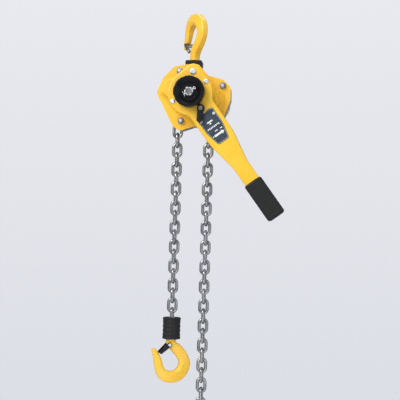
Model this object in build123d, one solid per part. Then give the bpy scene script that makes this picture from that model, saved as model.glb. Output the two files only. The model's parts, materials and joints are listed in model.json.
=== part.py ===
"""A 0.75 tonne lever chain hoist, modelled as its separate pieces, in millimetres.

It is drawn about the load sheave's centre, and written out with its origin at the centre of the
upper hook's seat.
+Z is up, and Y is along the main axis: the lever and hand wheel face -Y, the gear case +Y.
Flat outlines are drawn in front view, as (x, z) seen from -Y, and pushed along Y with slab().
"""
from build123d import *
import os
from math import acos, atan2, cos, degrees, hypot, pi, radians, sin, sqrt, tan

# --- chain and load sheave ---
PITCH = 18.0             # inner length of a link
WIRE = 5.9               # wire thickness of a 6 mm chain, with its size tolerance taken off
BEND_RADIUS = 7.0        # centreline radius of a link's ends
PLAY = 0.04              # slack between one link and the next
POCKETS = 5
LINK_STEP = 180 / POCKETS                       # turn of the sheave for each link
ARC_SPAN = PITCH + WIRE - 2 * BEND_RADIUS + PLAY  # between the centres of a link's end bends
FLAT_SPAN = 2 * PITCH - ARC_SPAN                # between the hinge points at the ends of a flat link
STANDING_HALF = atan2(sin(radians(LINK_STEP)), FLAT_SPAN / ARC_SPAN + cos(radians(LINK_STEP)))
HINGE_R = ARC_SPAN / 2 / sin(STANDING_HALF)
STANDING_R = HINGE_R * cos(STANDING_HALF)       # radius of the middle of a link that stands in the groove
FLAT_R = HINGE_R * cos(radians(LINK_STEP) - STANDING_HALF)
LEAVING = radians(LINK_STEP / 2) - STANDING_HALF  # angle of the hinge where each fall leaves the sheave
FALL_X = HINGE_R * cos(LEAVING)                 # both falls hang at this distance from the main axis
FIRST_Z = HINGE_R * sin(LEAVING) - FLAT_SPAN / 2  # middle of each fall's first link
SECTION_LINKS = 6                               # links in one stretch of the hook fall
FREE_LINKS = 32                                 # links of the free fall, below the main axis
HELD_FREE_LINKS = 3                             # free-fall links inside the body
SHEAVE_R = 32.0
GROOVE_R = 16.6

# --- stations along Y, front to back ---
PLATE_IN = 12.0          # side plates' inner faces, either side of the chain
PLATE_OUT = 16.0
FLANGE_FRONT = -18.0     # front face of the brake cover's flange
COVER_FRONT = -42.0
LEVER_BACK, LEVER_SEAM, LEVER_FRONT = -44.0, -54.0, -64.0
SHEET = 2.0
WHEEL_BACK, WHEEL_FRONT = -66.5, -84.0
WHEEL_R = 28.3
DISH_FLOOR = WHEEL_FRONT + 7.5   # bottom of the hollow in the hand wheel's face
SPLIT_PIN_Y = WHEEL_FRONT + 3.2
CASE_BACK = 46.5

# --- body outline and its fixings, in front view ---
OUTLINE = [(-68, 6), (-56, 34), (-36, 54.5), (-12, 58.5), (8, 58.5), (26, 38), (54, 31), (68, 18),
           (68.5, -6), (56, -40), (30, -56), (2, -55), (-23, -63.5), (-35, -56)]
SLOPED = [(-66, 4), (-53, 32), (-40, 38), (-18, 38), (20, 38), (44, 12), (60, 8), (62, -8),
          (50, -38), (28, -50), (4, -50), (-10, -42), (-32, -33)]
RAISED = [(-60, 4), (-49, 29), (-20, 40), (22, 36), (46, 8), (52, -12), (42, -38), (4, -44), (-24, -32)]
STAYS = [(-26.5, 46.5), (54.5, 20)]
SHORT_STUD = (-21.5, -46)  # holds the cover only, as the hook fall runs behind it
PIN = (-2.0, 46.5)       # suspension pin, which carries the upper hook
STAY_R, THREAD_R = 5.0, 3.0
PIN_R = 5.0

# --- gear train ---
SHAFT_TEETH, WHEEL_TEETH, PINION_TEETH, LOAD_TEETH = 9, 25, 12, 24
CENTRES = 34.0
GEAR_LINE = -15.0        # direction of the line through the three gear centres
PRESSURE = radians(25)
BACKLASH = 0.5

# --- lever ---
LEVER_ANGLE = -53.5      # direction of the lever arm, from +X
LEVER_LENGTH = 273.0
HUB_R = 41.0
GRIP_START, GRIP_HALF_WIDTH = 195.0, 17.5
LOBE_R = 14.5            # round the hub's outermost rivet
RIVET_AT = [(-5.4, -34.6), (0.6, 35.4), (-28.5, 26.4), (214, 0)]  # along and across the arm
PLATE_RIVET_AT = [(56, -13.6), (56, 13.6)]
SELECTOR_AT = 36.0       # selector pivot, along the arm
SELECTOR_ANGLE = -42.5   # selector handle, from the arm
CHANGE_TEETH, CHANGE_TIP_R = 12, 21.0

# --- brake ---
RATCHET_TEETH, RATCHET_TIP_R, RATCHET_ROOT_R = 16, 30.0, 26.0
PAWL_PIVOT_R = 37.0
PAWL_ANGLES = (168.0, -12.0)
RUNNING = 0.06           # radial clearance of a running fit

# --- hooks ---
SEAT_BORE_R = 15.5
UPPER_HOOK_TURN = 128.0  # where each hook's mouth points, about Z from +X
LOWER_HOOK_TURN = 200.0
YOKE_TOP = 68.5
YOKE_GAP = 0.6           # between each hook's shank and its yoke
UPPER_SHANK, LOWER_SHANK = 51.0, 43.0
NECK_R, COLLAR_R = 6.0, 8.5
CHAIN_PIN_R = 3.5


# === drawing helpers ===
def slab(face, back, front):
    """Pushes a front-view face along Y, from y = back to y = front."""
    return extrude(Plane.XZ.offset(-back) * face, back - front, dir=(0, -1, 0))


def flat(points):
    """A flat face from its corners, listed in either order."""
    face = Polygon(*points, align=None)
    return face if face.face().normal_at().Z > 0 else Polygon(*reversed(points), align=None)


def rod(radius, back, front, at=(0, 0)):
    return slab(Pos(*at) * Circle(radius), back, front)


def tube(outer, inner, back, front, at=(0, 0)):
    return slab(Pos(*at) * (Circle(outer) - Circle(inner)), back, front)


def polar(radius, angle):
    return radius * cos(radians(angle)), radius * sin(radians(angle))


def turned(angle):
    """A turn in front view, anticlockwise."""
    return Rot(Y=-angle)


def rounded(points, radius):
    face = flat(points)
    return fillet(face.vertices(), radius)


def save(name, *shapes):
    """Writes one named piece, moved so that the upper hook's seat is at the origin."""
    to_seat = Pos(-PIN[0], 0, -YOKE_TOP - YOKE_GAP - UPPER_SHANK)
    solids = [to_seat * s for shape in shapes for s in shape.solids()]
    export_step(Compound(solids) if len(solids) > 1 else solids[0], f"parts/{name}.step")


# === chain ===
def make_link():
    """One link about the origin, long way along Z, lying in the XZ plane."""
    half = PITCH / 2 + WIRE / 2 - BEND_RADIUS + PLAY / 2
    path = Wire([
        Line((BEND_RADIUS, 0, -half), (BEND_RADIUS, 0, half)),
        ThreePointArc((BEND_RADIUS, 0, half), (0, 0, half + BEND_RADIUS), (-BEND_RADIUS, 0, half)),
        Line((-BEND_RADIUS, 0, half), (-BEND_RADIUS, 0, -half)),
        ThreePointArc((-BEND_RADIUS, 0, -half), (0, 0, -half - BEND_RADIUS), (BEND_RADIUS, 0, -half)),
    ])
    return sweep(Plane(origin=(BEND_RADIUS, 0, -half), z_dir=(0, 0, 1)) * Circle(WIRE / 2), path)


LINK = make_link()


def hanging(side, n):
    """The nth link down a fall, on side -1 or +1. Even links lie flat to the sheave and odd ones stand."""
    return Pos(side * FALL_X, 0, FIRST_Z - PITCH * n) * (Rot(Z=0 if n % 2 else 90) * LINK)


def seated(angle, standing):
    """A link on the sheave, at an angle from +X. Standing links run in the groove, flat ones in pockets."""
    radius = STANDING_R if standing else FLAT_R
    return turned(angle) * (Pos(radius, 0, 0) * (Rot(Z=0 if standing else 90) * LINK))


def chain_over_sheave():
    on_sheave = [seated(LINK_STEP * (k + 0.5), k % 2 == 0) for k in range(POCKETS)]
    hook_side = [hanging(-1, n) for n in range(SECTION_LINKS)]
    free_side = [hanging(1, n) for n in range(HELD_FREE_LINKS)]
    return on_sheave + hook_side + free_side


def hook_fall(section):
    return [hanging(-1, section * SECTION_LINKS + n) for n in range(SECTION_LINKS)]


def free_fall():
    return [hanging(1, n) for n in range(HELD_FREE_LINKS, FREE_LINKS)]


def end_ring():
    """A welded ring through the last link, too big to pass through the chain guide."""
    major, wire = 13.0, 5.0
    last = FIRST_Z - PITCH * (FREE_LINKS - 1)
    low = last - PITCH / 2 + wire / 2 + 0.1 - major
    ring = Plane(origin=(FALL_X, 0, low), z_dir=(1, 0, 0)) * Torus(major, wire / 2)
    return [ring]


# === gears ===
def gear_face(teeth, module, phase, backlash=BACKLASH):
    """An involute gear outline about the origin, with a tooth centred on phase degrees."""
    r = teeth * module / 2
    base = r * cos(PRESSURE)
    tip, root = r + 0.8 * module, r - 1.05 * module
    half_tooth = pi / 2 / teeth - backlash / 2 / (2 * r)
    inv = tan(PRESSURE) - PRESSURE

    def half_angle(radius):
        if radius <= base:
            return half_tooth + inv
        a = acos(base / radius)
        return half_tooth + inv - (tan(a) - a)

    start = max(base, root)
    radii = [start + (tip - start) * k / 3 for k in range(4)]
    flank = [(root, half_angle(start) * 0.96)] + [(q, half_angle(q)) for q in radii]
    points = []
    for n in range(teeth):
        middle = radians(phase + 360 * n / teeth)
        points += [(q * cos(middle - a), q * sin(middle - a)) for q, a in flank]
        points += [(q * cos(middle + a), q * sin(middle + a)) for q, a in reversed(flank)]
    return flat(points)


MODULE_1 = 2 * CENTRES / (SHAFT_TEETH + WHEEL_TEETH)
MODULE_2 = 2 * CENTRES / (PINION_TEETH + LOAD_TEETH)
LOAD_GEAR_Y = (30.5, 19.5)
DISC_WHEEL_Y = (43.0, 34.0)


def mesh_phase(own_teeth, partner_teeth, partner_phase, line):
    """The phase that puts a gap of this gear where its partner's tooth meets the line of centres."""
    step, partner_step = 360 / own_teeth, 360 / partner_teeth
    off = (line - partner_phase) / partner_step       # teeth from the partner's tooth to the line
    return line + 180 + step / 2 + off * step


def disc_gear(side):
    """A wheel and pinion in one piece, on side +1 or -1 of the main axis along the gear line."""
    line = GEAR_LINE if side > 0 else GEAR_LINE + 180
    centre = Pos(*polar(CENTRES, line))
    wheel = gear_face(WHEEL_TEETH, MODULE_1, mesh_phase(WHEEL_TEETH, SHAFT_TEETH, GEAR_LINE, line))
    pinion = gear_face(PINION_TEETH, MODULE_2, mesh_phase(PINION_TEETH, LOAD_TEETH, GEAR_LINE, line))
    body = slab(centre * wheel, *DISC_WHEEL_Y)
    body += slab(centre * pinion, LOAD_GEAR_Y[0] + 0.2, LOAD_GEAR_Y[1] + 0.3)
    body += slab(centre * Circle(9), DISC_WHEEL_Y[1], LOAD_GEAR_Y[0])
    body += slab(centre * Circle(5), DISC_WHEEL_Y[0] + 5, DISC_WHEEL_Y[0])
    body += slab(centre * Circle(5), LOAD_GEAR_Y[1] + 0.3, PLATE_IN + 0.4)
    return body


def load_gear():
    face = gear_face(LOAD_TEETH, MODULE_2, GEAR_LINE) - RegularPolygon(10.5 + 0.05, 6, major_radius=False)
    return slab(face, *LOAD_GEAR_Y)


# === load sheave ===
def load_sheave():
    body = rod(SHEAVE_R, 11, -11)
    body += rod(14, 19, -19)
    body += slab(RegularPolygon(10.5, 6, major_radius=False), 33, 19)
    body -= tube(14, 10, 32.3, 31.0)
    body -= tube(SHEAVE_R + 2, GROOVE_R, 4.1, -4.1)
    clearance = 0.5
    slot = SlotCenterToCenter(ARC_SPAN, 2 * BEND_RADIUS + WIRE + 2 * clearance, rotation=90)
    cutter = extrude(Plane.YZ.offset(-WIRE / 2 - clearance) * slot, 14)
    seat = Pos(FLAT_R, 0, 0) * cutter
    leaving = turned(LINK_STEP / 2) * (Pos(FALL_X, 0, FIRST_Z) * cutter)
    pocket = seat + leaving + mirror(leaving, Plane.XY)
    for k in range(POCKETS):
        body -= turned(90 + LINK_STEP * (2 * k + 1)) * pocket
    return body - rod(7 + RUNNING, 34, -20)


# === body: plates, cover, case ===
def body_outline(grow=0.0):
    lobe = Pos(*PIN) * Circle(12 + grow)
    face = rounded(OUTLINE, 7) + lobe
    return offset(face, grow) if grow else face


def side_plate(back, front, rear=False):
    face = body_outline()
    face -= Circle(18)
    face -= [Pos(*at) * Circle(THREAD_R) for at in (STAYS if rear else [*STAYS, SHORT_STUD])]
    face -= Pos(*PIN) * Circle(PIN_R + 0.05)
    face -= [Pos(*at) * Circle(2) for at in (*ROLLER_AT, *STRIPPER_AT)]
    if rear:
        face -= [Pos(*polar(CENTRES, GEAR_LINE + turn)) * Circle(8) for turn in (0, 180)]
        face -= [Pos(*at) * Circle(2.5) for at in case_screw_places()]
    else:
        face -= [Pos(*polar(PAWL_PIVOT_R, a)) * Circle(3) for a in PAWL_ANGLES]
    return slab(face, back, front)


ROLLER_AT = [(-44.6, -8), (44.6, -8)]
STRIPPER_AT = [(-8, -42), (8, -42)]


def brake_cover():
    """A pressed cover: a flat flange, a sloping shoulder inside it, and a deep raised middle."""
    depth, shoulder = -PLATE_OUT - COVER_FRONT, 9.0

    def pressing(shrink, trim):
        base = Plane.XZ.offset(PLATE_OUT)
        sloped = extrude(base * offset(rounded(SLOPED, 5), -shrink), shoulder - trim, taper=38)
        return sloped + extrude(base * offset(rounded(RAISED, 9), -shrink), depth - trim, taper=12)

    body = slab(body_outline(1.0), -PLATE_OUT, FLANGE_FRONT) + pressing(0, 0) - pressing(SHEET, SHEET)
    body -= rod(21.5, COVER_FRONT + 4, COVER_FRONT - 1)
    body -= rod(PIN_R + 0.05, -PLATE_OUT, FLANGE_FRONT, PIN)
    for at in (*STAYS, SHORT_STUD):
        body -= rod(THREAD_R + 0.2, -PLATE_OUT, FLANGE_FRONT, at)
    return body


def case_screw_places():
    turn = radians(GEAR_LINE)
    corners = [(x, z) for x in (-26, 26) for z in (-36.5, 36.5)]
    return [(x * cos(turn) - z * sin(turn), x * sin(turn) + z * cos(turn)) for x, z in corners]


def gear_case():
    def capsule(radius):
        return Rot(Z=GEAR_LINE) * SlotCenterToCenter(2 * CENTRES, 2 * radius)

    inside, outside = 28.4, 30.6
    flange = capsule(outside)
    flange += [Pos(*at) * Circle(6.5) for at in case_screw_places()]
    body = slab(flange, PLATE_OUT + SHEET, PLATE_OUT)
    body += slab(capsule(outside), CASE_BACK, PLATE_OUT)
    body -= slab(capsule(inside), CASE_BACK - 2.5, PLATE_OUT)
    bosses = [polar(CENTRES, GEAR_LINE), polar(CENTRES, GEAR_LINE + 180), (0, 0)]
    for at in bosses:
        body += rod(11, CASE_BACK + 3.5, CASE_BACK - 2.5, at)
        body -= rod(8, CASE_BACK + 2, CASE_BACK - 3.2, at)
    for at in case_screw_places():
        body -= rod(2.7, PLATE_OUT + SHEET, PLATE_OUT, at)
    return body


def case_screws():
    made = []
    for at in case_screw_places():
        top = PLATE_OUT + SHEET
        head = slab(Pos(*at) * RegularPolygon(4.5, 6, major_radius=False), top + 3.5, top)
        made.append(head + rod(2.5, top, PLATE_IN, at))
    return made


def bearing_bushes():
    made = [tube(18, 14 + RUNNING, -PLATE_IN, -17.5), tube(18, 14 + RUNNING, 17.5, PLATE_IN)]
    for turn in (0, 180):
        at = polar(CENTRES, GEAR_LINE + turn)
        made.append(tube(8, 5 + RUNNING, PLATE_OUT, PLATE_IN, at))
        made.append(tube(8, 5 + RUNNING, CASE_BACK + 2, CASE_BACK - 3, at))
    made.append(tube(8, 6 + RUNNING, CASE_BACK + 2, CASE_BACK - 2.4))
    return made


def stay_bolts():
    made = []
    for at in STAYS:
        bolt = rod(STAY_R, PLATE_IN, -PLATE_IN, at) + rod(THREAD_R, PLATE_OUT, FLANGE_FRONT - 9, at)
        made.append(bolt + rod(5, PLATE_OUT + 2, PLATE_OUT, at))
    made.append(rod(THREAD_R, -PLATE_IN, FLANGE_FRONT - 9, SHORT_STUD))
    return made


def stay_nuts():
    made = []
    for at in (*STAYS, SHORT_STUD):
        made.append(tube(6.2, THREAD_R + 0.1, FLANGE_FRONT, FLANGE_FRONT - 1.4, at))
        hexagon = RegularPolygon(5.0, 6, major_radius=False, rotation=at[0]) - Circle(THREAD_R)
        made.append(slab(Pos(*at) * hexagon, FLANGE_FRONT - 1.4, FLANGE_FRONT - 6.6))
    return made


def suspension_pin():
    pin = rod(PIN_R, PLATE_OUT + 3.5, FLANGE_FRONT, PIN) + rod(6.4, FLANGE_FRONT, FLANGE_FRONT - 4, PIN)
    front = pin.faces().sort_by(Axis.Y)[0]
    pin = fillet(front.edges(), 2.2)
    return pin - tube(PIN_R + 1, PIN_R - 0.8, PLATE_OUT + 1.9, PLATE_OUT + 0.6, PIN)


def pin_clip():
    ring = Pos(*PIN) * (Circle(7.2) - Circle(PIN_R - 0.7) - Pos(0, -6) * Rectangle(5, 10))
    return slab(ring, PLATE_OUT + 1.8, PLATE_OUT + 0.7)


def guide_roller(at):
    return tube(4.6, 2 + RUNNING, PLATE_IN - 0.5, -PLATE_IN + 0.5, at)


def roller_pins():
    return [rod(2, PLATE_OUT, -PLATE_OUT, at) for at in ROLLER_AT]


def chain_stripper():
    finger = flat([(-9, -17.6), (9, -17.6), (13, -34), (-13, -34)]) - Circle(GROOVE_R + 0.8)
    foot = rounded([(-13, -33.4), (13, -33.4), (13, -48), (-13, -48)], 3)
    body = slab(finger, 3.2, -3.2) + slab(foot, PLATE_IN - 0.1, -PLATE_IN + 0.1)
    for at in STRIPPER_AT:
        body += rod(2, PLATE_OUT, -PLATE_OUT, at)
    return body


# === drive shaft, brake and hand wheel ===
def drive_shaft():
    body = rod(7, 33.5, -60)
    body += slab(gear_face(SHAFT_TEETH, MODULE_1, GEAR_LINE), 43.6, 33.5)
    body += rod(6, CASE_BACK + 1, 43.6)
    body += rod(6, -60, WHEEL_FRONT + 0.8)
    return body - turned(30) * (Pos(0, SPLIT_PIN_Y, 0) * (Rot(Y=90) * Cylinder(1.3, 20)))


def brake_hub():
    return tube(25, 7, -20, -24) + tube(11.5, 7, -24, -35)


def friction_plates():
    return [tube(24, 11.5 + RUNNING, -24.05, -26.1), tube(24, 11.5 + RUNNING, -33.3, -35.35)]


def ratchet_disc():
    """Each tooth climbs from the root to the tip and drops straight back."""
    points = []
    step = 360 / RATCHET_TEETH
    for n in range(RATCHET_TEETH):
        points += [polar(RATCHET_ROOT_R, n * step), polar(RATCHET_TIP_R, (n + 0.80) * step),
                   polar(RATCHET_TIP_R, (n + 0.94) * step)]
    return slab(flat(points) - Circle(11.5 + RUNNING), -26.2, -33.2)


def change_gear():
    """The gear the lever drives, in one piece with the flange that squeezes the brake."""
    step = 360 / CHANGE_TEETH
    points = []
    for n in range(CHANGE_TEETH):
        middle = LEVER_ANGLE + n * step
        for radius, turn in ((16.5, -11), (CHANGE_TIP_R, -6), (CHANGE_TIP_R, 6), (16.5, 11)):
            points.append(polar(radius, middle + turn))
    body = rod(24, -35.4, -39) + rod(19, -39, -46.5) + slab(flat(points), -46.5, -60)
    return body - rod(7, -35, -61)


def coil(radius, wire, turns, height):
    """A compression spring standing on the origin, along Z."""
    path = Helix(pitch=height / turns, height=height, radius=radius)
    return sweep(Plane(origin=path @ 0, z_dir=path % 0) * Circle(wire / 2), path)


def release_spring():
    """Between the change gear and the hand wheel. It holds the brake open for free chaining."""
    spring = coil(8.6, 1.4, 3, 4.2)
    return Pos(0, -61.0, 0) * (Rot(X=90) * spring)


def hand_wheel():
    """A dished wheel with eight shallow finger scallops."""
    rim = Circle(WHEEL_R)
    for n in range(8):
        rim -= Pos(*polar(WHEEL_R + 19.4, 22.5 + 45 * n)) * Circle(20)
    body = slab(rim, WHEEL_BACK - 2.5, WHEEL_FRONT)
    body = fillet(body.edges().filter_by(GeomType.CIRCLE).group_by(Axis.Y)[0], 2.0)
    body += rod(12, WHEEL_BACK, WHEEL_BACK - 3)
    dish = Plane.XZ.offset(-DISH_FLOOR) * Circle(15)
    body -= extrude(dish, 8, taper=-50)
    body -= rod(24, WHEEL_BACK, WHEEL_BACK - 5.5) - rod(12, WHEEL_BACK, WHEEL_BACK - 5.5)
    return body - rod(6, WHEEL_BACK + 1, WHEEL_FRONT)


def castle_nut():
    front = WHEEL_FRONT + 0.9
    body = slab(RegularPolygon(7.2, 6, major_radius=False), DISH_FLOOR, front) - rod(6, DISH_FLOOR, front)
    for turn in (0, 60, 120):
        body -= slab(Rot(Z=turn + 30) * Rectangle(20, 3), SPLIT_PIN_Y + 1.5, front)
    return body


def split_pin():
    """Along X in one of the nut's castles, with its two ends bent apart at -X."""
    y = SPLIT_PIN_Y
    shank = Pos(0.4, y, 0) * (Rot(Y=90) * Cylinder(1.1, 18.4))
    eye = Pos(11.4, y, 0) * (Rot(X=90) * Torus(2.0, 0.8))
    path = Polyline((-8.2, y, 0), (-10.0, y - 0.5, 1.5), (-10.5, y - 1, 5))
    leg = sweep(Plane(origin=(-8.2, y, 0), z_dir=(-1, 0, 0)) * Circle(0.8), path, transition=Transition.ROUND)
    other = mirror(leg, Plane.XY)
    return turned(30) * (shank + eye + leg + other)


# === pawls ===
def pawl():
    """A brake pawl about its pivot, level with the main axis, its nose towards -Z on the tooth crests."""
    nose_r = 13.0
    reach = RATCHET_TIP_R + 0.35
    # the nose's lowest corner lies on the crest circle plus clearance, 13 mm from the pivot
    d = PAWL_PIVOT_R
    along = (d * d + nose_r * nose_r - reach * reach) / (2 * d)
    down = sqrt(nose_r ** 2 - along ** 2)
    tip = (-along, -down)
    back = (tip[0] + 3.6, tip[1] - 0.2)
    face = make_hull([*(Circle(4.6)).edges(), Line(tip, back)])
    return slab(face - Circle(3 + RUNNING), -26.7, -32.7)


def placed_pawl(angle):
    return turned(angle) * (Pos(PAWL_PIVOT_R, 0, 0) * pawl())


def pawl_pins():
    made = []
    for angle in PAWL_ANGLES:
        at = polar(PAWL_PIVOT_R, angle)
        flange, head = rod(5, -PLATE_OUT, -17.2, at), rod(4.2, -33, -34.2, at)
        made.append(rod(3, -PLATE_IN - 0.5, -35, at) + flange + head)
    return made


def pawl_springs():
    made = []
    for angle in PAWL_ANGLES:
        spring = coil(3.9, 0.9, 4, 6.8)
        made.append(turned(angle) * (Pos(PAWL_PIVOT_R, -18.2, 0) * (Rot(X=90) * spring)))
    return made


# === lever ===
def lever_face(shrink=0.0, end=LEVER_LENGTH - 6):
    """The lever's outline along +X: a round hub and an arm that narrows to the grip."""
    side = [(0, -25.5), (100, -25), (158, -14.6), (end, -14)]
    arm = flat(side + [(x, -z) for x, z in reversed(side)])
    waist = [v for v in arm.vertices() if 90 < v.X < 170]
    lobe = Pos(*RIVET_AT[2]) * Circle(LOBE_R)
    face = fillet(waist, 120) + make_hull([*Circle(HUB_R).edges(), *lobe.edges()])
    face = fillet([v for v in face.vertices() if 20 < v.X < 45 and 20 < abs(v.Y) < 30], 14)
    return offset(face, -shrink) if shrink else face


def lever_turned(face):
    return Rot(Z=LEVER_ANGLE) * face


def lever_shell(outer_y, seam_y, bore):
    """One pressed half: a flat face with a wall round its edge, open towards the seam."""
    inner_y = outer_y + (SHEET if seam_y > outer_y else -SHEET)
    back, front = max(outer_y, seam_y), min(outer_y, seam_y)
    shell = slab(lever_turned(lever_face()), back, front)
    shell = fillet(shell.faces().sort_by(Axis.Y)[0 if outer_y < seam_y else -1].edges(), 3)
    back, front = max(inner_y, seam_y), min(inner_y, seam_y)
    shell -= slab(lever_turned(lever_face(SHEET)), back, front)
    return shell - rod(bore, LEVER_BACK + 1, LEVER_FRONT - 1)


def on_lever(at):
    (s, t), turn = at, radians(LEVER_ANGLE)
    return s * cos(turn) - t * sin(turn), s * sin(turn) + t * cos(turn)


def lever_front_shell():
    shell = lever_shell(LEVER_FRONT, LEVER_SEAM - 0.05, 12.6)
    for at in RIVET_AT:
        shell -= rod(2.5, LEVER_SEAM, LEVER_FRONT - 1, on_lever(at))
    for at in PLATE_RIVET_AT:
        shell -= rod(1.5, LEVER_SEAM, LEVER_FRONT - 1, on_lever(at))
    return shell - rod(4 + RUNNING, LEVER_SEAM, LEVER_FRONT - 1, on_lever((SELECTOR_AT, 0)))


def lever_rear_shell():
    shell = lever_shell(LEVER_BACK, LEVER_SEAM + 0.05, 19 + 0.1)
    for at in RIVET_AT:
        shell -= rod(2.5, LEVER_BACK + 1, LEVER_SEAM, on_lever(at))
    seat = lever_turned(Pos(78, 0) * Rectangle(4, 16))
    shell += slab(seat, LEVER_BACK - SHEET, LEVER_FRONT + 4)
    return shell - rod(4 + RUNNING, LEVER_BACK + 1, LEVER_SEAM, on_lever((SELECTOR_AT, 0)))


def lever_rivets():
    made = []
    for n, at in enumerate(RIVET_AT):
        place = on_lever(at)
        rivet = rod(2.5, LEVER_BACK, LEVER_FRONT, place)
        rivet += rod(3.3, LEVER_BACK - SHEET, LEVER_FRONT + SHEET, place)
        head, high = ((4.6, 2.4), (4.6, 2.4), (6.0, 3.0), (4.0, 1.0))[n]
        front_head = rod(head, LEVER_FRONT, LEVER_FRONT - high, place)
        front_head = fillet(front_head.faces().sort_by(Axis.Y)[0].edges(), high * 0.8)
        rivet += front_head + rod(4.0, LEVER_BACK + 0.8, LEVER_BACK, place)
        made.append(rivet)
    for at in PLATE_RIVET_AT:
        place = on_lever(at)
        head = rod(2.6, LEVER_FRONT - 0.7, LEVER_FRONT - 1.6, place)
        made.append(rod(1.5, LEVER_FRONT + 3, LEVER_FRONT - 1, place) + head)
    return made


def rating_plate():
    edge = [(44, 14), (47, 18), (78, 18), (106, 12), (108, 9)]
    shape = edge + [(x, -z) for x, z in reversed(edge)]
    plate = slab(lever_turned(flat(shape)), LEVER_FRONT, LEVER_FRONT - 0.6)
    for at in PLATE_RIVET_AT:
        plate -= rod(1.6, LEVER_FRONT + 1, LEVER_FRONT - 1, on_lever(at))
    return plate - rod(10.5, LEVER_FRONT, LEVER_FRONT - 1, on_lever((SELECTOR_AT, 0)))


def lever_grip():
    """A moulded sleeve over the arm's end."""
    length = LEVER_LENGTH - GRIP_START
    centre = Pos(GRIP_START + length / 2, 0)
    thick = 3.0
    outline = lever_turned(centre * RectangleRounded(length, 2 * GRIP_HALF_WIDTH, 5))
    body = slab(outline, LEVER_BACK + thick, LEVER_FRONT - thick)
    body = fillet(body.faces().filter_by(Axis.Y).edges(), 4)
    handle = lever_turned(lever_face(-0.05, LEVER_LENGTH - 5.9))
    return body - slab(handle, LEVER_BACK + 0.9, LEVER_FRONT - 1.1)


def changeover_pawl():
    """A two-nosed pawl about the selector pivot, in one of its two driving positions."""
    def nose(side):
        return flat([polar(6, 180 - side * 15), polar(14, 180 - side * 42), polar(15.0, 180 - side * 55),
                     polar(12.5, 180 - side * 72), polar(7, 180 - side * 110)])

    tail = rounded([(3, -6.5), (8.6, -4), (8.6, 4), (3, 6.5), (-4, 5), (-4, -5)], 1.5)
    face = Circle(8.2) + nose(1) + nose(-1) + tail - Circle(4)
    face = Pos(SELECTOR_AT, 0) * (Rot(Z=SELECTOR_ANGLE) * face)
    return slab(lever_turned(face), -48, -58)


def selector_lever():
    boss = Circle(7)
    arm = make_hull([*Circle(5.8).edges(), *(Pos(20.5, 0) * Circle(5.0)).edges()])
    face = Pos(SELECTOR_AT, 0) * (Rot(Z=SELECTOR_ANGLE) * (boss + arm))
    tip = Pos(SELECTOR_AT, 0) * (Rot(Z=SELECTOR_ANGLE) * (Pos(20.5, 0) * Circle(5.0)))
    body = slab(lever_turned(face), LEVER_FRONT - 1.9, LEVER_FRONT - 7.5)
    body += slab(lever_turned(tip), LEVER_FRONT - 5, LEVER_FRONT - 10)
    body += rod(7, LEVER_FRONT - 5, LEVER_FRONT - 9, on_lever((SELECTOR_AT, 0)))
    body = fillet(body.faces().sort_by(Axis.Y)[0].edges(), 1.2)
    body += rod(4, LEVER_BACK + 0.5, LEVER_FRONT - 3, on_lever((SELECTOR_AT, 0)))
    return body - rod(2, LEVER_FRONT + 6, LEVER_FRONT - 10.5, on_lever((SELECTOR_AT, 0)))


def selector_screw():
    at = on_lever((SELECTOR_AT, 0))
    body = rod(2, LEVER_FRONT + 6, LEVER_FRONT - 9, at) + rod(4.2, LEVER_FRONT - 9, LEVER_FRONT - 12, at)
    body = fillet(body.faces().sort_by(Axis.Y)[0].edges(), 1.2)
    return body - slab(Pos(*at) * Rectangle(9, 1.2), LEVER_FRONT - 10.8, LEVER_FRONT - 13)


def along_lever(s):
    """The place on the arm's middle line, s from the main axis, with Z turned along the arm."""
    return turned(LEVER_ANGLE) * Pos(s, -53, 0) * Rot(Y=90)


def detent_plunger():
    head = Pos(0, 0, 1) * Cylinder(3.4, 9, align=(Align.CENTER, Align.CENTER, Align.MIN))
    dome = Pos(0, 0, 1) * Sphere(3.4)
    stem = Pos(0, 0, 9.9) * Cylinder(1.9, 6, align=(Align.CENTER, Align.CENTER, Align.MIN))
    return along_lever(SELECTOR_AT + 12.0) * (head + dome + stem)


def detent_spring():
    return along_lever(SELECTOR_AT + 22.8) * coil(2.9, 0.9, 8, 16.2)


# === hooks ===
def hook_section(at, heading, depth, inner, outer):
    """A rounded section across the hook's middle line, which runs along heading: widest near the seat, with
    a bevel down to the seat's land."""
    normal = heading + 90                                     # the in-plane normal, away from the seat
    x_dir = (cos(radians(normal)), 0, sin(radians(normal)))
    z_dir = (cos(radians(heading)), 0, sin(radians(heading)))
    place = Plane(origin=(at[0], 0, at[1]), x_dir=x_dir, z_dir=z_dir)
    half, land, widest = depth / 2, 0.33 * inner, 0.28 * depth
    side = [(-half, land), (-half + widest, inner / 2), (half, outer / 2)]
    shape = Polygon(*side, *[(x, -y) for x, y in reversed(side)], align=None)
    return place * fillet(shape.vertices(), 0.27 * min(depth, outer))


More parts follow.
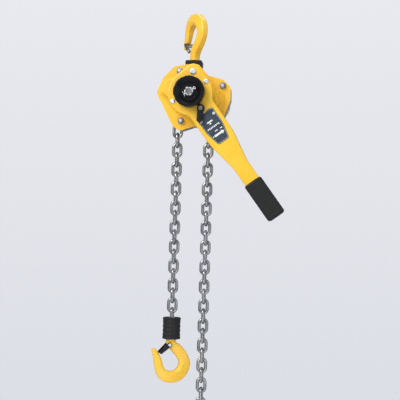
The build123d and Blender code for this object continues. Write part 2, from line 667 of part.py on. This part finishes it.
def hook(shank):
    """A forged hook about its seat's centre, shank up and mouth towards -X, with its neck and collar."""
    stations = [((0, shank), -90, 18, 16, 16), ((0.5, shank - 7), -80, 17.5, 16, 15)]
    stations.append(((9.5, 26.5), -44, 19.5, 17, 13.5))
    for angle, depth, inner, outer in ((36, 19.5, 17.5, 12.5), (5, 20.5, 18, 12), (-30, 21.5, 18, 12),
                                       (-65, 22, 18, 12), (-100, 21.5, 18, 12), (-135, 19, 16.5, 11.5),
                                       (-170, 15.5, 14.5, 10.5)):
        radius = SEAT_BORE_R - 0.35 + depth / 2
        stations.append((polar(radius, angle), angle - 90, depth, inner, outer))
    stations.append(((-26.2, 10), 102, 13, 12, 9.5))
    stations += [((-29.6, 18), 117, 10.5, 10, 8.5), ((-34.0, 25), 125, 7, 7, 6)]
    body = loft([hook_section(*s) for s in stations])
    body -= Rot(X=90) * Cylinder(SEAT_BORE_R, 40)
    body += Pos(0, 0, shank) * Cylinder(NECK_R, 5, align=(Align.CENTER, Align.CENTER, Align.MIN))
    body += Pos(0, 0, shank + 4.4) * Cylinder(COLLAR_R, 4.4, align=(Align.CENTER, Align.CENTER, Align.MIN))
    return body - latch_hole(shank)


LATCH_AT = (-4.5, 33.5)       # latch pivot, from the seat's centre


def latch_hole(shank):
    return Pos(LATCH_AT[0], 0, LATCH_AT[1]) * (Rot(X=90) * Cylinder(1.6, 40))


def latch():
    """A pressed channel from its pivot on the shank to the inside of the tip."""
    x, z = LATCH_AT
    end = (-22.0, 17.0)
    length = hypot(end[0] - x, end[1] - z)
    angle = degrees(atan2(end[1] - z, end[0] - x))
    cheek = make_hull([*Circle(4.2).edges(), *(Pos(length - 3, 0) * Circle(2.6)).edges()])
    place = Pos(x, z) * Rot(Z=angle)
    outside, inside = 10.6, 9.2
    body = slab(place * (cheek - Circle(1.6)), outside, -outside)
    gap = place * (Pos(-10, 0) * Rectangle(length * 2 + 22, 30, align=(Align.MIN, Align.CENTER)))
    body -= slab(gap, inside, -inside)
    web = place * (Pos(10.5, 1.9) * Rectangle(length - 12, 1.6, align=(Align.MIN, Align.CENTER)))
    return body + slab(web, inside, -inside)


def latch_rivet():
    body = Cylinder(1.6, 22) + Pos(0, 0, 11.5) * Cylinder(2.8, 1.6) + Pos(0, 0, -11.5) * Cylinder(2.8, 1.6)
    return Pos(LATCH_AT[0], 0, LATCH_AT[1]) * (Rot(X=90) * body)


def latch_spring():
    """A small torsion coil round the rivet, beside the shank."""
    return Pos(LATCH_AT[0], 8.65, LATCH_AT[1]) * (Rot(X=90) * Torus(2.2, 0.42))


def upper_place():
    """From a hook's own frame to the upper hook's: upside down over the yoke, mouth turned."""
    return Pos(PIN[0], 0, YOKE_TOP + YOKE_GAP + UPPER_SHANK) * Rot(Z=UPPER_HOOK_TURN + 180) * Rot(X=180)


CHAIN_PIN_Z = FIRST_Z - PITCH * (4 * SECTION_LINKS - 0.5) + CHAIN_PIN_R + 0.05
SLEEVE_TOP, SLEEVE_BOTTOM = -409.0, -449.0
LOWER_SEAT_Z = SLEEVE_BOTTOM - YOKE_GAP - LOWER_SHANK


def lower_place():
    return Pos(-FALL_X, 0, LOWER_SEAT_Z) * Rot(Z=LOWER_HOOK_TURN + 180)


def upper_yoke():
    """The block that pivots on the suspension pin and holds the hook's collar, in two halves split at y = 0."""
    x, z = PIN
    low = z - 9
    right, left = x + 15.5, x - 15.5
    outline = rounded([(x - 10, low), (x + 10, low), (right, YOKE_TOP - 9), (right, YOKE_TOP), (left, YOKE_TOP),
                       (left, YOKE_TOP - 9)], 3)
    block = slab(outline, 11.4, -11.4)
    block -= rod(PIN_R + RUNNING, 12, -12, PIN)
    block -= Pos(x, 0, z - 10) * Box(40, 9, 17)
    top = YOKE_TOP + YOKE_GAP
    block -= Pos(x, 0, YOKE_TOP) * Cylinder(NECK_R + RUNNING, 20)
    block -= Pos(x, 0, top - 4.4 - 2.2) * Cylinder(COLLAR_R + 0.1, 4.8)
    return halves(block)


def halves(block):
    """Splits a block at y = 0 into two pieces that just meet."""
    big = 200
    front = block & Pos(0, -big / 2 - 0.02, block.center().Z) * Box(big, big, big)
    back = block & Pos(0, big / 2 + 0.02, block.center().Z) * Box(big, big, big)
    return [front, back]


def lower_yoke():
    """Two half sockets that hold the chain's pin and the lower hook's collar, hidden by the sleeve."""
    top, bottom = SLEEVE_TOP - 9, SLEEVE_BOTTOM + 0.8
    block = Pos(-FALL_X, 0, (top + bottom) / 2) * Cylinder(14.4, top - bottom)
    collar_top = SLEEVE_BOTTOM - YOKE_GAP + 8.8
    block -= Pos(-FALL_X, 0, collar_top + 0.2 + 20) * Box(40, 7.0, 40)
    block -= Pos(-FALL_X, 0, SLEEVE_TOP) * Box(13, 21.6, 25)
    block -= Pos(-FALL_X, 0, CHAIN_PIN_Z) * (Rot(X=90) * Cylinder(CHAIN_PIN_R, 40))
    block -= Pos(-FALL_X, 0, bottom) * Cylinder(NECK_R + RUNNING, 20)
    block -= Pos(-FALL_X, 0, collar_top - 2.2) * Cylinder(COLLAR_R + 0.1, 4.8)
    return halves(block)


def chain_pin():
    return Pos(-FALL_X, 0, CHAIN_PIN_Z) * (Rot(X=90) * Cylinder(CHAIN_PIN_R, 27.4))


def lower_sleeve():
    middle = (SLEEVE_TOP + SLEEVE_BOTTOM) / 2
    body = Pos(-FALL_X, 0, middle) * Cylinder(17.4, SLEEVE_TOP - SLEEVE_BOTTOM)
    body = fillet(body.edges().filter_by(GeomType.CIRCLE), 1.5)
    return body - Pos(-FALL_X, 0, middle) * Cylinder(14.5, 60)


# === the parts ===
def main():
    os.makedirs("parts", exist_ok=True)
    save("front_side_plate", side_plate(-PLATE_IN, -PLATE_OUT))
    save("rear_side_plate", side_plate(PLATE_OUT, PLATE_IN, rear=True))
    save("stay_bolts", *stay_bolts())
    save("stay_nuts", *stay_nuts())
    save("brake_cover", brake_cover())
    save("gear_case", gear_case())
    save("gear_case_screws", *case_screws())
    save("bearing_bushes", *bearing_bushes())
    save("suspension_pin", suspension_pin())
    save("pin_clip", pin_clip())
    save("chain_stripper", chain_stripper())
    save("left_guide_roller", guide_roller(ROLLER_AT[0]))
    save("right_guide_roller", guide_roller(ROLLER_AT[1]))
    save("guide_roller_pins", *roller_pins())

    save("load_sheave", load_sheave())
    save("load_gear", load_gear())
    save("load_gear_clip", tube(14, 10 + 0.1, 32.2, 31.1))
    save("right_disc_gear", disc_gear(1))
    save("left_disc_gear", disc_gear(-1))
    save("drive_shaft", drive_shaft())
    save("brake_hub", brake_hub())
    save("friction_plates", *friction_plates())
    save("ratchet_disc", ratchet_disc())
    save("change_gear", change_gear())
    save("release_spring", release_spring())
    save("hand_wheel", hand_wheel())
    save("castle_nut", castle_nut())
    save("split_pin", split_pin())
    save("upper_pawl", placed_pawl(PAWL_ANGLES[0]))
    save("lower_pawl", placed_pawl(PAWL_ANGLES[1]))
    save("pawl_pins", *pawl_pins())
    save("pawl_springs", *pawl_springs())

    save("lever_front_shell", lever_front_shell())
    save("lever_rear_shell", lever_rear_shell())
    save("lever_rivets", *lever_rivets())
    save("lever_grip", lever_grip())
    save("rating_plate", rating_plate())
    save("changeover_pawl", changeover_pawl())
    save("selector_lever", selector_lever())
    save("selector_screw", selector_screw())
    save("detent_plunger", detent_plunger())
    save("detent_spring", detent_spring())

    save("upper_yoke", *upper_yoke())
    save("upper_hook", upper_place() * hook(UPPER_SHANK))
    save("upper_latch", upper_place() * latch())
    save("upper_latch_rivet", upper_place() * latch_rivet())
    save("upper_latch_spring", upper_place() * latch_spring())
    save("lower_yoke", *lower_yoke())
    save("chain_pin", chain_pin())
    save("lower_sleeve", lower_sleeve())
    save("lower_hook", lower_place() * hook(LOWER_SHANK))
    save("lower_latch", lower_place() * latch())
    save("lower_latch_rivet", lower_place() * latch_rivet())
    save("lower_latch_spring", lower_place() * latch_spring())

    save("chain_over_sheave", *chain_over_sheave())
    save("hook_chain_upper", *hook_fall(1))
    save("hook_chain_middle", *hook_fall(2))
    save("hook_chain_lower", *hook_fall(3))
    save("free_chain", *free_fall())
    save("end_ring", *end_ring())


main()
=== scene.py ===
"""Looks for a lever chain hoist: materials, printed plate, grip, rubber sleeve, studio, camera.

Lengths are in metres unless a name or docstring says millimetres, which MM turns into metres.
"""

import json
import math

import bmesh
import bpy
from mathutils import Matrix, Vector

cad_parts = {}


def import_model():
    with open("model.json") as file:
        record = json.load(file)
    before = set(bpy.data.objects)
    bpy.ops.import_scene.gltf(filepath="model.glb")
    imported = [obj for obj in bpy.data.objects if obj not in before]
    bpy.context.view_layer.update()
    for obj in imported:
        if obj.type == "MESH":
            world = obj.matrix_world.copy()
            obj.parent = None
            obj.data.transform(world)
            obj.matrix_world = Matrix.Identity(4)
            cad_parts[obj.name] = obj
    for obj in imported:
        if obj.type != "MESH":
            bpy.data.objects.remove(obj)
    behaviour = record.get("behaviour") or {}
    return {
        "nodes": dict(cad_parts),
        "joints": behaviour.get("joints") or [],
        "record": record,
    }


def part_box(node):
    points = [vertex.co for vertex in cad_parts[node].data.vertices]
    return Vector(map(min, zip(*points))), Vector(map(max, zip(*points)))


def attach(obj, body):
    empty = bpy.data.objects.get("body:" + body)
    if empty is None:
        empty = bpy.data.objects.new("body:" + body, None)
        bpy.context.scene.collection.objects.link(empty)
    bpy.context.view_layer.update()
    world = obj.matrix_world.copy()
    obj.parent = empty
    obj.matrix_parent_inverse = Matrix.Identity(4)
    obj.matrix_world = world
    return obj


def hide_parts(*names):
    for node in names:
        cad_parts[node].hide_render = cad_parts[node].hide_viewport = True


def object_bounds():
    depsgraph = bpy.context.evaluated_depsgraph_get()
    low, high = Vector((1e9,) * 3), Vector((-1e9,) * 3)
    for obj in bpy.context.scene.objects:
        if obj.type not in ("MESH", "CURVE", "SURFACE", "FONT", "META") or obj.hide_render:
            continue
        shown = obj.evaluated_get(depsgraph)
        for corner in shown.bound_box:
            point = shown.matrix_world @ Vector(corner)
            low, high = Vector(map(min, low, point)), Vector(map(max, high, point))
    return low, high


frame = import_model()
CAD_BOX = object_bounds()
NODES = frame["nodes"]
RECORD = frame["record"]
JOINTS = {j["name"]: j for j in frame["joints"]}
SLOTS = {s["node"]: s["material_slot"] for s in RECORD["subparts"]}
MM = 0.001
FLOOR_R = 1.2
FLOOR_DROP = 0.25                                     # from the lowest point down to the floor
IMAGE_SIDE = 400
PIXEL = 1.857 * MM                                    # one image pixel at the camera's distance

AXIS = Vector(JOINTS["sheave_spin"]["pos_m"])         # a point on the main shaft's line
SELECTOR = Vector(JOINTS["selector_turn"]["pos_m"])
ARM = (SELECTOR - AXIS) * Vector((1, 0, 1))
ARM.normalize()                                       # along the lever, from shaft to grip
ACROSS = Vector((0, -1, 0)).cross(ARM)                # across the lever, in the plate's plane
SHAFT_LINE = Vector((AXIS.x, 0, AXIS.z))              # the same line where Y is 0


# --- materials ---------------------------------------------------------------------------------
class Nodes:
    """Small helper for building one material's node tree."""

    def __init__(self, name):
        self.material = bpy.data.materials.new(name)
        self.material.use_nodes = True
        self.tree = self.material.node_tree
        self.shader = self.tree.nodes["Principled BSDF"]
        self.position = self.add("ShaderNodeTexCoord").outputs["Object"]

    def add(self, kind, **inputs):
        node = self.tree.nodes.new(kind)
        for key, value in inputs.items():
            self.plug(node, key.replace("_", " "), value)
        return node

    def plug(self, node, key, value):
        if isinstance(value, bpy.types.NodeSocket):
            self.tree.links.new(value, node.inputs[key])
        else:
            node.inputs[key].default_value = value

    def noise(self, scale, detail=4.0, rough=0.55, stretch=None):
        source = self.position
        if stretch:
            mapping = self.add("ShaderNodeMapping", Vector=source)
            mapping.inputs["Scale"].default_value = stretch
            source = mapping.outputs["Vector"]
        texture = self.add("ShaderNodeTexNoise", Vector=source, Scale=scale, Detail=detail)
        texture.inputs["Roughness"].default_value = rough
        return texture.outputs["Fac"]

    def ramp(self, value, low, high, at=(0.35, 0.65)):
        """value rescaled so that the span "at" becomes low to high, and held there beyond it."""
        node = self.add("ShaderNodeMapRange", Value=value)
        node.inputs["From Min"].default_value, node.inputs["From Max"].default_value = at
        node.inputs["To Min"].default_value, node.inputs["To Max"].default_value = low, high
        return node.outputs["Result"]

    def mix(self, factor, first, second):
        """A colour between first and second, each a socket or (r, g, b)."""
        node = self.add("ShaderNodeMix")
        node.data_type = "RGBA"
        self.plug(node, 0, factor)
        for key, colour in ((6, first), (7, second)):
            self.plug(node, key, (*colour, 1) if isinstance(colour, tuple) else colour)
        return node.outputs[2]

    def clouded(self, scale, detail, first, second, rough=0.55):
        """Base colour that drifts between two tones."""
        drift = self.ramp(self.noise(scale, detail, rough), 0, 1)
        self.plug(self.shader, "Base Color", self.mix(drift, first, second))

    def edges(self, radius):
        """1 on a worn outer edge and 0 away from it, from the rounded against the plain normal."""
        soft = self.add("ShaderNodeBevel", Radius=radius)
        soft.samples = 4
        flat = self.add("ShaderNodeNewGeometry").outputs["Normal"]
        dot = self.add("ShaderNodeVectorMath")
        dot.operation = "DOT_PRODUCT"
        self.tree.links.new(soft.outputs["Normal"], dot.inputs[0])
        self.tree.links.new(flat, dot.inputs[1])
        return self.ramp(dot.outputs["Value"], 1.0, 0.0, (0.72, 0.96))

    def surface(self, height, strength, distance, bevel=0.0):
        """Fine relief from height, over edges rounded by bevel."""
        bump = self.add("ShaderNodeBump", Height=height, Strength=strength, Distance=distance)
        if bevel:
            soft = self.add("ShaderNodeBevel", Radius=bevel)
            soft.samples = 4
            self.tree.links.new(soft.outputs["Normal"], bump.inputs["Normal"])
        self.tree.links.new(bump.outputs["Normal"], self.shader.inputs["Normal"])


def yellow_paint():
    m = Nodes("yellow_enamel")
    broad, fine = m.noise(14, 3), m.noise(160, 3)
    body = m.mix(m.ramp(broad, 0.0, 1.0), (0.92, 0.52, 0.020), (0.96, 0.57, 0.036))
    scuffs = m.ramp(m.noise(420, 6, 0.7), 0.0, 1.0, (0.62, 0.72))
    worn = m.add("ShaderNodeMath")
    worn.operation = "MULTIPLY"
    m.plug(worn, 0, m.edges(0.5 * MM))
    m.plug(worn, 1, scuffs)
    m.plug(m.shader, "Base Color", m.mix(worn.outputs[0], body, (0.72, 0.37, 0.02)))
    m.plug(m.shader, "Roughness", m.ramp(fine, 0.28, 0.40))
    m.plug(m.shader, "Coat Weight", 0.35)
    m.plug(m.shader, "Coat Roughness", m.ramp(broad, 0.10, 0.20))
    m.surface(m.noise(700, 2), 0.05, 0.3 * MM, 0.5 * MM)
    return m.material


def black_paint():
    m = Nodes("black_enamel")
    body, worn = (0.008, 0.008, 0.010), (0.04, 0.04, 0.045)
    m.plug(m.shader, "Base Color", m.mix(m.edges(0.5 * MM), body, worn))
    m.plug(m.shader, "Specular IOR Level", 0.3)
    m.plug(m.shader, "Roughness", m.ramp(m.noise(260, 4), 0.26, 0.42))
    m.surface(m.noise(900, 3), 0.14, 0.3 * MM, 0.5 * MM)
    return m.material


def zinc_plate():
    m = Nodes("bright_zinc")
    m.clouded(75, 6, (0.62, 0.63, 0.65), (0.84, 0.85, 0.86), 0.65)
    m.plug(m.shader, "Metallic", 0.92)
    m.plug(m.shader, "Roughness", m.ramp(m.noise(340, 5), 0.26, 0.46))
    m.surface(m.noise(520, 5, 0.6), 0.22, 0.25 * MM, 0.35 * MM)
    return m.material


def chain_zinc():
    m = Nodes("chain_zinc")
    m.clouded(90, 6, (0.26, 0.265, 0.27), (0.46, 0.465, 0.47), 0.65)
    m.plug(m.shader, "Metallic", 1.0)
    m.plug(m.shader, "Roughness", m.ramp(m.noise(340, 5), 0.20, 0.34))
    m.surface(m.noise(520, 5, 0.6), 0.22, 0.25 * MM, 0.35 * MM)
    return m.material


def machined_steel():
    m = Nodes("machined_steel")
    rings = m.noise(300, 4, 0.6, (1.0, 12.0, 1.0))
    m.clouded(60, 5, (0.10, 0.10, 0.105), (0.25, 0.25, 0.255))
    m.plug(m.shader, "Metallic", 1.0)
    m.plug(m.shader, "Roughness", m.ramp(rings, 0.30, 0.50))
    m.surface(rings, 0.15, 0.2 * MM, 0.3 * MM)
    return m.material


def cast_sheave():
    m = Nodes("cast_iron")
    m.clouded(45, 6, (0.07, 0.07, 0.075), (0.15, 0.15, 0.15))
    m.plug(m.shader, "Metallic", 0.8)
    m.plug(m.shader, "Roughness", m.ramp(m.noise(200, 5), 0.45, 0.68))
    m.surface(m.noise(420, 6, 0.7), 0.5, 0.4 * MM, 0.5 * MM)
    return m.material


def bronze_bush():
    m = Nodes("sintered_bronze")
    m.clouded(380, 5, (0.36, 0.21, 0.07), (0.56, 0.36, 0.14))
    m.plug(m.shader, "Metallic", 0.9)
    m.plug(m.shader, "Roughness", m.ramp(m.noise(600, 3), 0.38, 0.55))
    m.surface(m.noise(1200, 2), 0.3, 0.15 * MM, 0.3 * MM)
    return m.material


def friction_lining():
    m = Nodes("brake_lining")
    flecks = m.ramp(m.noise(900, 2, 0.4), 0, 1, (0.55, 0.62))
    m.plug(m.shader, "Base Color", m.mix(flecks, (0.07, 0.05, 0.035), (0.34, 0.25, 0.13)))
    m.plug(m.shader, "Roughness", m.ramp(m.noise(300, 4), 0.75, 0.92))
    m.surface(m.noise(900, 5), 0.5, 0.3 * MM)
    return m.material


def grip_rubber():
    m = Nodes("black_rubber")
    speckle = m.noise(1100, 4, 0.7)
    dark, pale = (0.008, 0.008, 0.008), (0.022, 0.022, 0.023)
    m.plug(m.shader, "Base Color", m.mix(m.ramp(speckle, 0, 1), dark, pale))
    m.plug(m.shader, "Roughness", m.ramp(m.noise(200, 5), 0.48, 0.66))
    m.plug(m.shader, "Specular IOR Level", 0.25)
    m.surface(speckle, 0.5, 0.25 * MM)
    return m.material


def black_plastic():
    m = Nodes("moulded_plastic")
    m.clouded(90, 4, (0.003, 0.003, 0.004), (0.006, 0.006, 0.008))
    m.plug(m.shader, "Roughness", m.ramp(m.noise(700, 3), 0.22, 0.32))
    m.plug(m.shader, "Specular IOR Level", 0.22)
    m.surface(m.noise(1400, 3), 0.06, 0.2 * MM, 0.6 * MM)
    return m.material


def label_print():
    m = Nodes("plate_ground")
    m.clouded(120, 5, (0.028, 0.042, 0.062), (0.045, 0.062, 0.085))
    m.plug(m.shader, "Roughness", m.ramp(m.noise(420, 4), 0.32, 0.48))
    m.plug(m.shader, "Metallic", 0.25)
    m.surface(m.noise(900, 3), 0.08, 0.15 * MM)
    return m.material


def print_ink():
    m = Nodes("white_ink")
    m.clouded(700, 4, (0.72, 0.73, 0.74), (0.86, 0.86, 0.86))
    m.plug(m.shader, "Roughness", m.ramp(m.noise(900, 3), 0.40, 0.55))
    m.surface(m.noise(1500, 3), 0.1, 0.05 * MM)
    return m.material


def studio_floor():
    """A pale floor under the object that fades out before its rim."""
    m = Nodes("studio_floor")
    m.clouded(1.3, 3, (0.76, 0.77, 0.80), (0.80, 0.81, 0.84))
    m.plug(m.shader, "Roughness", 0.9)
    flat = m.add("ShaderNodeMapping", Vector=m.position)
    flat.inputs["Scale"].default_value = (1, 1, 0)
    reach = m.add("ShaderNodeVectorMath", Vector=flat.outputs["Vector"])
    reach.operation = "LENGTH"
    faded = m.ramp(reach.outputs["Value"], 0.0, 1.0, (0.25 * FLOOR_R, 0.95 * FLOOR_R))
    clear = m.add("ShaderNodeBsdfTransparent").outputs["BSDF"]
    mix = m.add("ShaderNodeMixShader")
    for socket, value in zip(mix.inputs, (faded, m.shader.outputs["BSDF"], clear)):
        m.tree.links.new(value, socket)
    m.tree.links.new(mix.outputs["Shader"], m.tree.nodes["Material Output"].inputs["Surface"])
    return m.material


MATERIALS = {
    "yellow_paint": yellow_paint(),
    "black_paint": black_paint(),
    "zinc_plate": zinc_plate(),
    "dark_steel": machined_steel(),
    "cast_sheave": cast_sheave(),
    "bronze_bush": bronze_bush(),
    "friction_lining": friction_lining(),
    "grip_rubber": grip_rubber(),
    "black_plastic": black_plastic(),
    "label_print": label_print(),
}
INK = print_ink()
CHAIN = chain_zinc()
CHAIN_NODES = {
    "chain_over_sheave", "hook_chain_upper", "hook_chain_middle", "hook_chain_lower",
    "free_chain", "end_ring", "stay_nuts",
}


def finish_cad_nodes():
    for name, node in NODES.items():
        node.data.materials.clear()
        node.data.materials.append(CHAIN if name in CHAIN_NODES else MATERIALS[SLOTS[name]])


# --- mesh building -----------------------------------------------------------------------------
def new_piece(name, mesh, material, slot, body, *stands_for):
    """A visible piece that rides body and stands for the CAD nodes named last."""
    piece = bpy.data.objects.new(name, mesh)
    bpy.context.scene.collection.objects.link(piece)
    mesh.materials.append(material)
    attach(piece, body)
    if stands_for:
        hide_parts(*stands_for)
    return piece


def skin(rings, capped=True):
    """A closed mesh through equal rings of points: capped at both ends, or last ring to first."""
    bm = bmesh.new()
    rows = [[bm.verts.new(p) for p in ring] for ring in rings]
    count = len(rows[0])
    for a, b in zip(rows, rows[1:] if capped else rows[1:] + rows[:1]):
        for k in range(count):
            bm.faces.new((a[k], a[(k + 1) % count], b[(k + 1) % count], b[k]))
    if capped:
        bm.faces.new(reversed(rows[0]))
        bm.faces.new(rows[-1])
    bmesh.ops.recalc_face_normals(bm, faces=bm.faces)
    mesh = bpy.data.meshes.new("skin")
    bm.to_mesh(mesh)
    bm.free()
    for face in mesh.polygons:
        face.use_smooth = len(face.vertices) == 4
    return mesh


def superellipse(width, thickness, angle, power=5.0):
    """The point at angle on a rounded rectangle's outline."""
    c, s = math.cos(angle), math.sin(angle)
    reach = (abs(c) ** power + abs(s) ** power) ** (-1 / power)
    return width / 2 * reach * c, thickness / 2 * reach * s


def lever_grip():
    """The grip's sleeve, with fine moulded ribs along it and rolled ends."""
    low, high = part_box("lever_grip")
    middle = (low + high) / 2
    points = [v.co - AXIS for v in NODES["lever_grip"].data.vertices]
    along = [p.dot(ARM) for p in points]
    across = [p.dot(ACROSS) for p in points]
    start, end = min(along), max(along)
    width, thickness = max(across) - min(across), high.y - low.y
    ribs, around, steps, band_every = 44, 352, 60, 6
    rib_depth, band_depth, roll = 0.38 * MM, 0.35 * MM, 5.0 * MM
    rings = []
    for i in range(steps + 1):
        s = start + (end - start) * i / steps
        from_end = min(s - start, end - s)
        squeeze = 0.0
        if from_end < roll:
            squeeze = roll - math.sqrt(max(roll ** 2 - (roll - from_end) ** 2, 0.0))
        ribbed = min(1.0, max(0.0, (from_end - 4.5 * MM) / (2.5 * MM)))
        band = 0.0 if i % band_every else band_depth * ribbed
        ring = []
        for k in range(around):
            angle = 2 * math.pi * k / around
            groove = rib_depth * ribbed * (0.5 - 0.5 * math.cos(ribs * angle)) + band
            inset = 2 * (squeeze + groove)
            x, y = superellipse(width - inset, thickness - inset, angle)
            ring.append(SHAFT_LINE + ARM * s + ACROSS * x + Vector((0, middle.y + y, 0)))
        rings.append(ring)
    new_piece("ribbed_grip", skin(rings), MATERIALS["grip_rubber"], "grip_rubber",
              "lever", "lever_grip")


def lathe(profile, centre, around=96):
    """A ring turned about Z through centre, from a closed profile of (radius, height)."""
    rings = []
    for k in range(around):
        a = 2 * math.pi * k / around
        rings.append([centre + Vector((r * math.cos(a), r * math.sin(a), h)) for r, h in profile])
    return skin(rings, capped=False)


def lower_sleeve():
    """The rubber sleeve over the hook's yoke: rolled lips and shallow rings."""
    low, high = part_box("lower_sleeve")
    centre = Vector(((low.x + high.x) / 2, (low.y + high.y) / 2, low.z))
    radius, height, bore = (high.x - low.x) / 2, high.z - low.z, 14.5 * MM
    steps, rings = 64, 5
    lip_depth, ring_depth, tuck_depth = 0.9 * MM, 0.35 * MM, 1.6 * MM
    profile = []
    for i in range(steps + 1):
        h = i / steps
        lips = math.exp(-((h - 0.07) / 0.05) ** 2) + math.exp(-((h - 0.93) / 0.05) ** 2)
        ring = ring_depth * math.cos(2 * math.pi * rings * h)
        tuck = tuck_depth * max(0.0, 1 - min(h, 1 - h) / 0.04) ** 2
        r = radius - 1.3 * MM + lip_depth * lips + ring - tuck
        profile.append((r, height * h))
    profile += [(bore, height), (bore, 0.0)]
    new_piece("ringed_sleeve", lathe(profile, centre), MATERIALS["grip_rubber"], "grip_rubber",
              "hook_block", "lower_sleeve")


def on_plate(s, t, lift):
    """A point over the rating plate: s along the arm, t across it, in millimetres."""
    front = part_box("rating_plate")[0].y
    return SHAFT_LINE + ARM * s * MM + ACROSS * t * MM + Vector((0, front - lift * MM, 0))


def raised_strip(outline, thick=0.12):
    """A thin flat print from an outline of (s, t) on the plate."""
    top = [on_plate(s, t, thick) for s, t in outline]
    base = [on_plate(s, t, 0.0) for s, t in outline]
    return skin([base, top])


def printed_marks():
    """A white border and plain generic marks: no words. Outlines are (s, t) in millimetres."""
    outer = [(47.4, -16.8), (45.2, -13.6), (45.2, 13.6), (47.4, 16.8), (77.8, 16.8),
             (105.2, 11.1), (106.8, 8.8), (106.8, -8.8), (105.2, -11.1), (77.8, -16.8)]
    inner = [(76 + (s - 76) * 0.988, t * 0.978) for s, t in outer]
    marks = []
    for k in range(len(outer)):
        nxt = (k + 1) % len(outer)
        marks.append([outer[k], outer[nxt], inner[nxt], inner[k]])

    def bar(s, t, along, across):
        marks.append([(s, t), (s, t + across), (s + along, t + across), (s + along, t)])

    # a short mark and a block
    bar(63.4, -6.8, 2.4, 11.6)
    bar(66.8, -3.4, 2.6, 3.2)
    # a row of blocks
    for n in range(8):
        bar(74.4, -12.6 + 3.2 * n, 2.9 if n % 3 else 2.3, 2.2)
    # three small marks
    bar(83.2, -3.0, 2.2, 1.5)
    bar(83.2, -0.6, 2.2, 3.0)
    bar(84.0, 7.6, 1.8, 4.6)
    # a plain arrow with a block behind it
    bar(90.0, -8.6, 3.6, 15.0)
    marks.append([(88.0, 6.4), (91.8, 12.2), (95.6, 6.4)])
    bar(90.6, -12.2, 2.0, 2.2)
    bm = bmesh.new()
    for outline in marks:
        mesh = raised_strip(outline)
        bm.from_mesh(mesh)
        bpy.data.meshes.remove(mesh)
    joined = bpy.data.meshes.new("marks")
    bm.to_mesh(joined)
    bm.free()
    for face in joined.polygons:
        face.use_smooth = False
    new_piece("plate_print", joined, INK, "label_print", "lever")


# --- studio ------------------------------------------------------------------------------------
def floor():
    bm = bmesh.new()
    bmesh.ops.create_circle(bm, cap_ends=True, radius=FLOOR_R, segments=96)
    bmesh.ops.translate(bm, verts=bm.verts, vec=(0, 0, CAD_BOX[0][2] - FLOOR_DROP))
    mesh = bpy.data.meshes.new("floor")
    bm.to_mesh(mesh)
    bm.free()
    mesh.materials.append(studio_floor())
    ground = bpy.data.objects.new("floor", mesh)
    bpy.context.scene.collection.objects.link(ground)


def area_light(name, at, aim, size, power, colour=(1, 1, 1)):
    data = bpy.data.lights.new(name, "AREA")
    data.shape = "RECTANGLE"
    data.size, data.size_y = size
    data.energy, data.color = power, colour
    light = bpy.data.objects.new(name, data)
    light.location = at
    light.rotation_euler = (Vector(aim) - Vector(at)).to_track_quat("-Z", "Y").to_euler()
    bpy.context.scene.collection.objects.link(light)


def lights():
    middle = (0, 0, AXIS.z - 0.15)
    area_light("key", (-1.3, -2.0, 1.2), middle, (1.6, 1.6), 61, (1.0, 0.985, 0.95))
    area_light("fill", (2.0, -1.7, 0.2), middle, (1.8, 2.2), 13, (0.95, 0.975, 1.0))
    area_light("top", (0.1, 0.4, 1.9), middle, (1.8, 1.4), 18)
    area_light("low", (0.2, -1.6, -1.2), middle, (1.6, 0.8), 7)


def world():
    """A soft cool glow for light and reflections, and a pale graded backdrop for the camera."""
    studio = bpy.data.worlds.new("studio")
    bpy.context.scene.world = studio
    studio.use_nodes = True
    nodes, links = studio.node_tree.nodes, studio.node_tree.links
    glow = nodes["Background"]
    glow.inputs["Color"].default_value = (0.90, 0.94, 1.0, 1)
    glow.inputs["Strength"].default_value = 0.44
    seen = nodes.new("ShaderNodeBackground")
    height = nodes.new("ShaderNodeSeparateXYZ")
    links.new(nodes.new("ShaderNodeTexCoord").outputs["Window"], height.inputs[0])
    tone = nodes.new("ShaderNodeMix")
    tone.data_type = "RGBA"
    tone.inputs[6].default_value = (0.72, 0.735, 0.79, 1)
    tone.inputs[7].default_value = (0.81, 0.82, 0.86, 1)
    links.new(height.outputs["Y"], tone.inputs[0])
    links.new(tone.outputs[2], seen.inputs["Color"])
    mix = nodes.new("ShaderNodeMixShader")
    links.new(nodes.new("ShaderNodeLightPath").outputs["Is Camera Ray"], mix.inputs[0])
    links.new(glow.outputs["Background"], mix.inputs[1])
    links.new(seen.outputs["Background"], mix.inputs[2])
    links.new(mix.outputs["Shader"], nodes["World Output"].inputs["Surface"])


def camera():
    azimuth, elevation, roll = math.radians(7.5), math.radians(-2.5), math.radians(1.8)
    distance, sensor = 1.9, 36.0
    aim = Vector((AXIS.x, 0, AXIS.z - 0.19))
    forward = Vector((
        -math.sin(azimuth) * math.cos(elevation),
        math.cos(azimuth) * math.cos(elevation),
        -math.sin(elevation),
    ))
    right = Vector((math.cos(azimuth), math.sin(azimuth), 0))
    up = right.cross(forward)
    tilted_right = right * math.cos(roll) + up * math.sin(roll)
    tilted_up = up * math.cos(roll) - right * math.sin(roll)
    data = bpy.data.cameras.new("camera")
    data.sensor_width = sensor
    data.lens = sensor * distance / (IMAGE_SIDE * PIXEL)
    data.shift_x, data.shift_y = 8.8 / IMAGE_SIDE, -0.6 / IMAGE_SIDE
    view = bpy.data.objects.new("camera", data)
    spot = aim - forward * distance
    view.matrix_world = Matrix((
        (tilted_right.x, tilted_up.x, -forward.x, spot.x),
        (tilted_right.y, tilted_up.y, -forward.y, spot.y),
        (tilted_right.z, tilted_up.z, -forward.z, spot.z),
        (0, 0, 0, 1),
    ))
    bpy.context.scene.collection.objects.link(view)
    bpy.context.scene.camera = view


finish_cad_nodes()
lever_grip()
lower_sleeve()
printed_marks()
floor()
lights()
world()
camera()
bpy.context.scene.view_settings.view_transform = "Standard"
